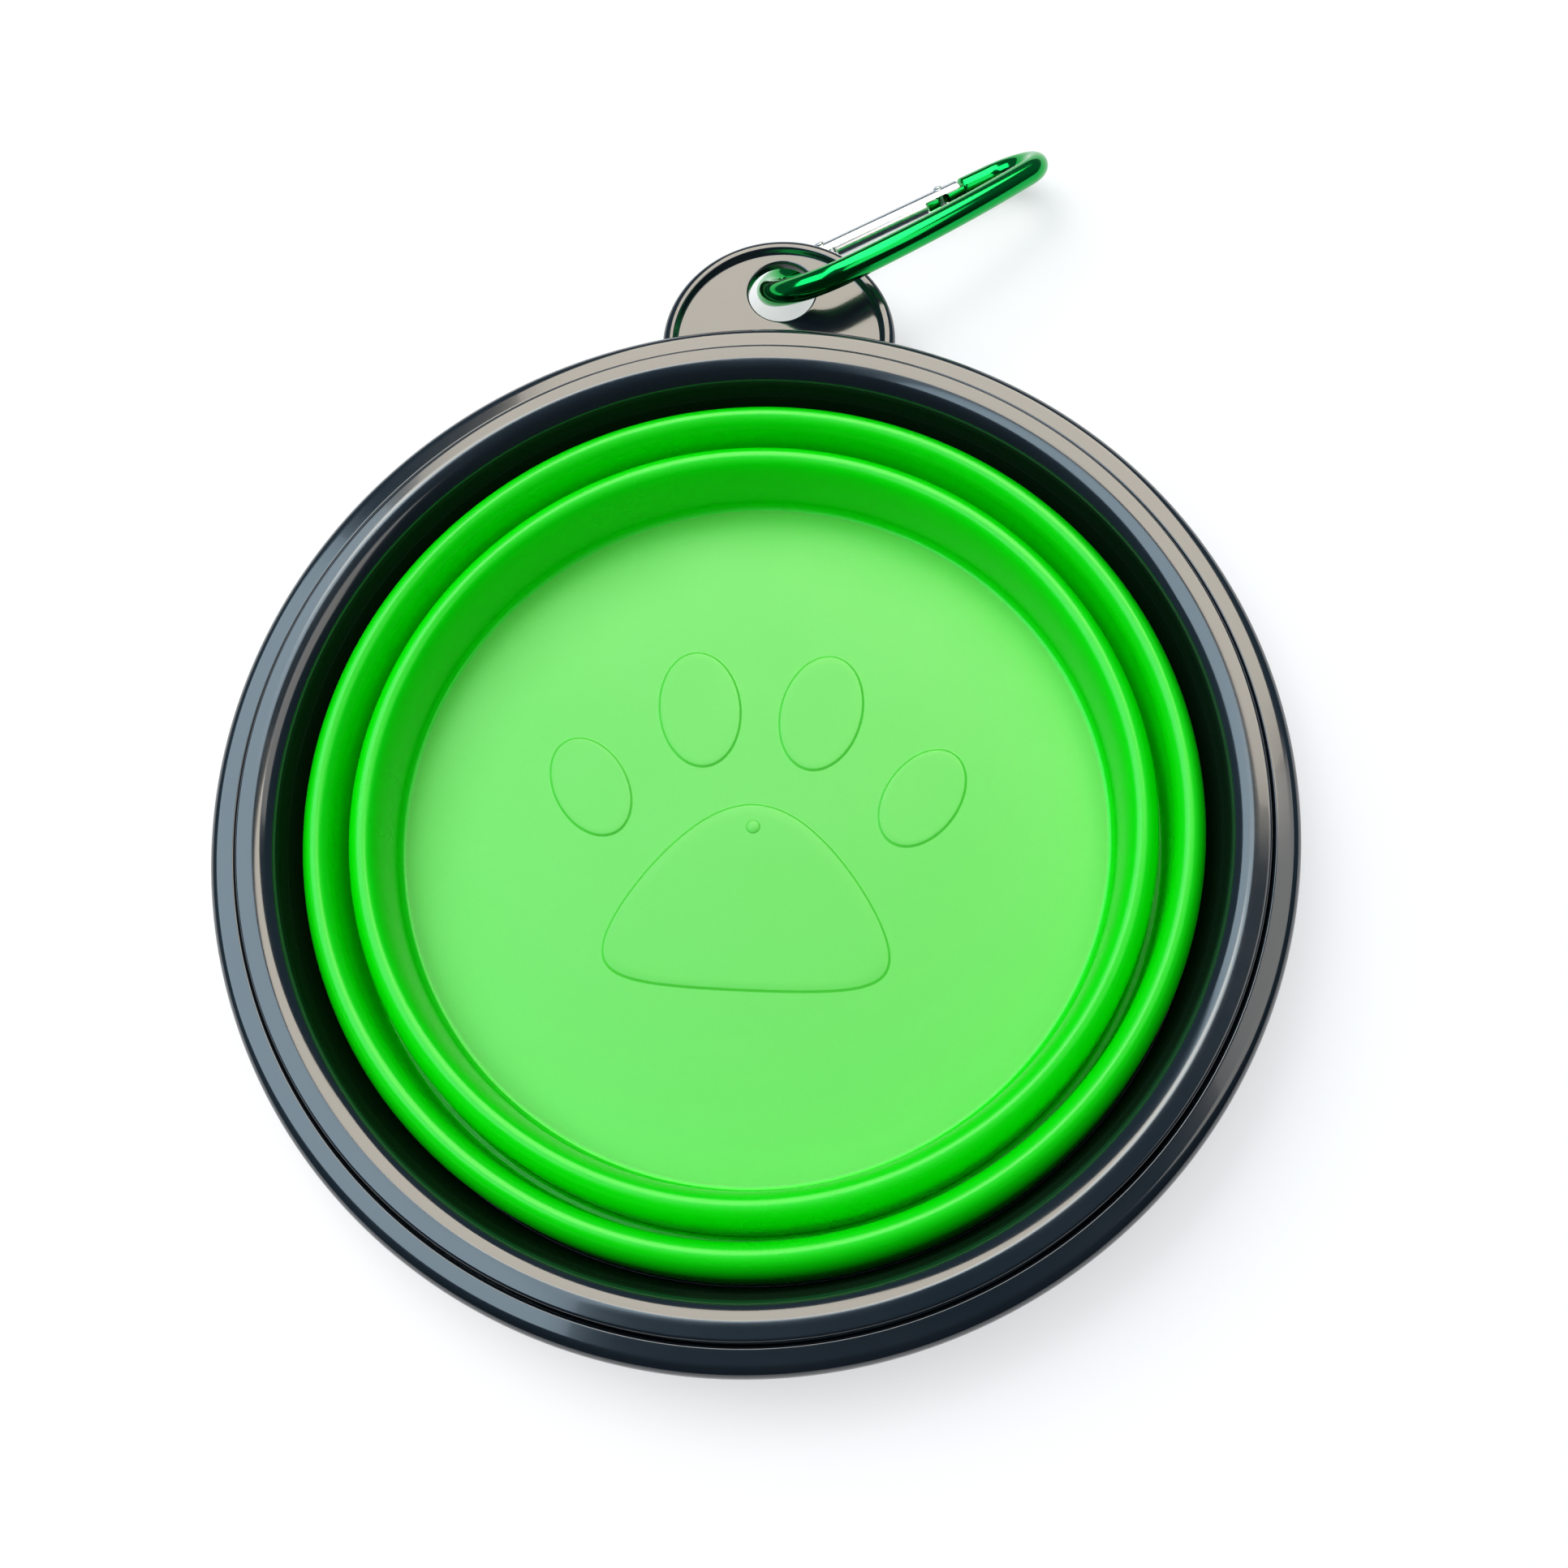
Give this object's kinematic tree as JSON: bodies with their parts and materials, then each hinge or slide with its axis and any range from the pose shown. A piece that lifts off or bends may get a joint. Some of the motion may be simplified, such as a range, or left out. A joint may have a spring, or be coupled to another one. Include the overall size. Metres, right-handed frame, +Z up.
{
  "type": "collapsible pet bowl",
  "caption": "Folding travel bowl: a hard ring with an ear and a snap hook carries a soft body of nested folds that pulls open like a telescope.",
  "frame": {"origin": "middle of the underside of the base, on the surface that the folded bowl stands on", "axes": "+Z up along the bowl's axis, +Y from the axis towards the ear that the carabiner hangs in, +X to the right of it"},
  "size_m": [0.13, 0.1639, 0.0164],
  "materials": {
    "rim_plastic": "polished dark moulding",
    "soft_body": "satin soft moulding, matt on the floor",
    "green_anodised": "polished anodised",
    "bare_aluminium": "polished",
    "steel": "plain"
  },
  "bodies": {
    "base": {"base_pan": "soft_body", "inner_fold_web": "soft_body"},
    "middle": {"middle_ring": "soft_body", "outer_fold_web": "soft_body"},
    "rim": {"rim_frame": "rim_plastic", "clamp_ring": "rim_plastic", "upper_wall": "rim_plastic"},
    "carabiner": {"carabiner_frame": "green_anodised", "gate_pivot_rivet": "steel"},
    "gate": {"carabiner_gate": "bare_aluminium", "gate_latch_pin": "steel", "gate_spring": "steel", "gate_plunger": "steel"}
  },
  "joints": [
    {"name": "inner_fold", "type": "slide", "parent": "base", "child": "middle", "axis": [0, 0, 1], "range_m": [0, 0.0178], "deforming": ["inner_fold_web"]},
    {"name": "outer_fold", "type": "slide", "parent": "middle", "child": "rim", "axis": [0, 0, 1], "range_m": [0, 0.02], "deforming": ["outer_fold_web"]},
    {"name": "carabiner_swing", "type": "hinge", "parent": "rim", "child": "carabiner", "pos_m": [0, 0.0728, 0.0088], "axis": [0, 0, 1], "range_deg": [-30, 150]},
    {"name": "gate_hinge", "type": "hinge", "parent": "carabiner", "child": "gate", "pos_m": [0.00487, 0.08312, 0.00288], "axis": [0.3679, -0.6321, -0.682], "range_deg": [0, 20], "stiffness_Nm_per_rad": 0.12, "springref_deg": -8.59}
  ]
}
